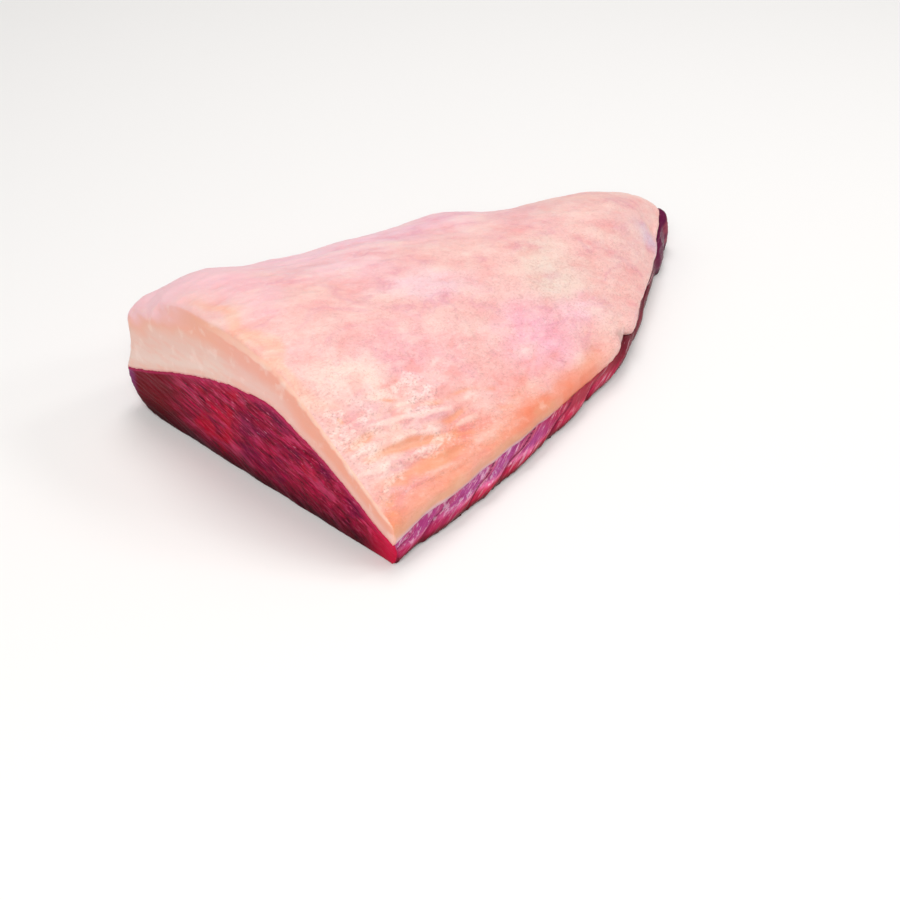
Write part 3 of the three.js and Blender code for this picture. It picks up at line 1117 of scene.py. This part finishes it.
@dataclass
class Lean(Flesh):
    """The lean, fibrous on the cut and wrapped in silverskin along its thin side."""

    node: str = "lean_meat"
    neighbour: str = "fat_cap"
    slot: Slot = Slot.LEAN
    finish: FleshFinish = RAW_LEAN
    finest_facing: Pair = (0.15, 0.9)  # least to the thin side and most up
    finest_up_mm: float = 0.8  # above the foot
    finest_seam_mm: float = 0.6  # off the fat
    fibre_mm: float = 0.2
    fibres: Lumps = Lumps((18, 1.8), 31, 3)
    bundle_mm: float = 0.35
    bundles: Lumps = Lumps((30, 5.5), 32)
    strand_mm: float = 0.4
    strands: Lumps = Lumps((20, 2.2), 33, 2)
    twist_mm: float = 2.6
    twist_spacing_mm: float = 13.6
    twist_drift: Lumps = Lumps((30, 16), 34)
    twist_drift_mm: float = 4.0
    twist_height_mm: Span = (1.0, 8.0)  # twists are flatter at the foot
    twist_end_mm: Span = (104, 84)  # the tip isn't twisted
    fibre_bend_mm: Pair = (-75, 58)  # where they start to steepen, and how soon
    fibre_fall: float = 0.18  # how steep they are there
    fibre_drop_mm: float = 10.4  # how far they have dropped there
    under_turn: float = 0.25  # how far the underside's fibres lean
    strand_lean_deg: float = 56.0  # how far the strands lean toward the tip
    strand_wrap: float = 1.2  # how much more they lean where the side rolls in under the fat
    cut_depth_mm: Span = (1.6, 0.8)
    open_mm: Span = (0.5, 3.0)  # relief fades in this far from the seam
    cut_open_mm: Span = (0.2, 1.2)  # and this far on the cut
    side_facing: Span = (0.1, 0.5)
    under_facing: Span = (0.8, 0.95)
    side_in_mm: float = 2.4  # how far the thin side is drawn in toward the tip
    side_in_mm_at: Span = (50, 78)
    side_reach_mm: Span = (14.0, 3.0)
    tip_in_mm: float = 0.4  # and how much more by the tip
    tip_in_mm_at: Span = (88, 104)
    tip_lumps: tuple[Spot, ...] = (Spot((30, 112), (12, 9)), Spot((19, 131), (9, 6)))
    tip_lump_mm: float = 1.6
    least_wet: float = 0.4

    def finest(self, places: Array, normals: Array) -> Array:
        """The cut and the thin side."""
        on_cut = places[:, 1] < CUT_Y + self.cut_depth_mm[1]
        least, most = self.finest_facing
        on_side = (normals[:, 0] > least) & (normals[:, 2] < most)
        on_side &= (places[:, 2] > self.finest_up_mm) & (self.seam(places) > self.finest_seam_mm)
        return on_cut | on_side

    def sculpt(self) -> None:
        """Raises fibres on the cut and strands on the sides and keeps which way they run."""
        places, normals = self.places(), self.normals()
        seam = self.seam(places)
        cut = near_cut(places, self.cut_depth_mm)
        thin_side = rise(normals[:, 0], *self.side_facing) * (1 - cut)
        under = rise(-normals[:, 2], *self.under_facing) * (1 - cut)
        along, across = self.fibre_way(places, cut, under)

        flow = np.stack([along, across], 1)
        fibres = self.fibres.at(flow)
        strands = 2.4 * np.abs(self.strands.at(flow)) - 0.5
        drift = self.twist_drift_mm * self.twist_drift.at(flow)
        twists = np.abs(np.sin(np.pi * (across + drift) / self.twist_spacing_mm)) ** 0.7 - 0.7
        high = rise(places[:, 2], *self.twist_height_mm)
        relief = cut * (self.fibre_mm * fibres + self.bundle_mm * self.bundles.at(flow))
        even = rise(places[:, 1], *self.twist_end_mm)
        side_relief = self.strand_mm * (strands + 0.3 * fibres)
        relief += (1 - cut) * (1 - under) * (0.4 + 0.6 * thin_side * even) * side_relief
        relief += thin_side * even * self.twist_mm * (0.3 + 0.7 * high) * (twists - 0.1)
        tip_lumps = np.max([spot.share(places) for spot in self.tip_lumps], axis=0)
        relief += self.tip_lump_mm * tip_lumps * (1 - under)
        relief += under * 0.5 * self.fibre_mm * (fibres - 1)
        cut_open = cut * rise(seam, *self.cut_open_mm)
        open_skin = np.maximum(rise(seam, *self.open_mm), cut_open)
        places += normals * (relief * open_skin)[:, None]
        side = distance(places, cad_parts[self.node].data, THIN_SIDE)
        far = self.side_in_mm * rise(places[:, 1], *self.side_in_mm_at)
        far += self.tip_in_mm * rise(places[:, 1], *self.tip_in_mm_at)
        places[:, 0] -= far * rise(side, *self.side_reach_mm)
        places += self.close_seam(places, normals, seam, cut)
        places[:, 2] -= self.tip_sink(places)
        places[:, 2] = np.maximum(places[:, 2], 0.0)
        self.put(places)
        self.paint(
            along_mm=along,
            across_mm=across,
            cut=cut,
            seam_mm=seam,
            relief=strands,
            twist=twists,
            wet=np.maximum(thin_side, self.least_wet),
        )

    def fibre_way(self, places: Array, cut: Array, under: Array) -> tuple[Array, Array]:
        """Finds which way the fibres run.

        Args:
            places: the vertices' places in mm.
            cut: how much each is on the cut.
            under: how much each is on the underside.

        Returns:
            Each vertex's place along its fibre and across the fibres, in mm.
        """
        x, y, z = places.T
        # On the cut the fibres start level at the thick side and steepen toward the thin one.
        start, pace = self.fibre_bend_mm
        bend = np.exp((x - start) / pace)
        steep = np.hypot(1, self.fibre_fall * bend)
        drop = self.fibre_drop_mm * bend
        cut_along, cut_across = x + 0.5 * drop, (z + drop) / steep
        lean_angle = radians(self.strand_lean_deg)
        side_along = y * sin(lean_angle) + z * cos(lean_angle)
        side_across = y * cos(lean_angle) - z * sin(lean_angle) + self.strand_wrap * x
        on_side = (1 - cut) * (1 - under)
        turn = self.under_turn
        along = cut * cut_along + on_side * side_along + under * (y + turn * x)
        across = cut * cut_across + on_side * side_across + under * (x - turn * y)
        return along, across


# ------------------------------------------------------------------ studio


@dataclass(frozen=True)
class Lamp:
    """A soft box of light."""

    name: str
    place: Triple
    size: float
    watts: float
    aim: Triple = (0.0, -0.02, 0.03)

    def hang(self) -> None:
        """Hangs the lamp and turns it to what it lights."""
        light = bpy.data.lights.new(self.name, "AREA")
        light.shape = "DISK"
        light.size = self.size
        light.energy = self.watts
        lamp = bpy.data.objects.new(self.name, light)
        lamp.location = self.place
        toward = Vector(self.place) - Vector(self.aim)
        lamp.rotation_euler = toward.to_track_quat("Z", "Y").to_euler()
        bpy.context.scene.collection.objects.link(lamp)


@dataclass
class Studio:
    """A plain pale floor, soft light and the camera at the photograph's angle."""

    floor_half: float = 3.0
    floor_drop_mm: float = 0.2
    floor_colour: str = "#F6F4F2"
    sky_colour: str = "#FFFFFF"
    sky_strength: float = 0.43
    camera_place: Triple = (0.35946, -0.41917, 0.37153)
    camera_turn_deg: Triple = (51.595, 0.0, 41.6)
    lens_mm: float = 55.98
    lamps: tuple[Lamp, ...] = (
        Lamp("Overhead soft box", (-0.28, 0.25, 1.15), 0.6, 4.4),
        Lamp("Camera side soft box", (0.55, -0.75, 0.85), 0.7, 6.7),
        Lamp("Back soft box", (0.40, 0.68, 0.88), 0.26, 1.4),
        Lamp("Thin side soft box", (0.80, 0.50, 0.75), 0.22, 1.2),
    )

    def build(self) -> None:
        """Sets up the floor, the light and the camera."""
        self.lay_floor()
        self.light()
        self.place_camera()
        log.info("studio: %d lamps", len(self.lamps))

    def lay_floor(self) -> None:
        """Lays a matt floor just under the piece."""
        bpy.ops.object.select_all(action="DESELECT")
        low = (0, 0, -self.floor_drop_mm * MM)
        bpy.ops.mesh.primitive_plane_add(size=2 * self.floor_half, location=low)
        floor = bpy.context.object
        floor.name = "studio_floor"
        material = bpy.data.materials.new("Matt studio floor, painted")
        material.use_nodes = True
        shader = material.node_tree.nodes["Principled BSDF"]
        shader.inputs["Base Color"].default_value = linear(self.floor_colour)
        shader.inputs["Roughness"].default_value = 0.9
        shader.inputs["Specular IOR Level"].default_value = 0.1
        floor.data.materials.append(material)

    def light(self) -> None:
        """Turns on an even sky and the soft boxes."""
        world = bpy.data.worlds.new("Studio")
        world.use_nodes = True
        background = world.node_tree.nodes["Background"]
        background.inputs["Color"].default_value = linear(self.sky_colour)
        background.inputs["Strength"].default_value = self.sky_strength
        bpy.context.scene.world = world
        for lamp in self.lamps:
            lamp.hang()
        bpy.context.scene.view_settings.view_transform = "Standard"

    def place_camera(self) -> None:
        """Puts the camera where the photograph was taken from."""
        camera = bpy.data.cameras.new("Camera")
        camera.lens = self.lens_mm
        camera.clip_start = 0.01
        holder = bpy.data.objects.new("Camera", camera)
        holder.location = self.camera_place
        holder.rotation_euler = tuple(radians(turn) for turn in self.camera_turn_deg)
        bpy.context.scene.collection.objects.link(holder)
        bpy.context.scene.camera = holder


def main() -> None:
    """Builds the studio and both pieces."""
    logging.basicConfig(level=logging.INFO, format="%(name)s: %(message)s")
    Studio().build()
    for piece in (FatCap(), Lean()):
        piece.build()


if __name__ == "__main__":
    main()
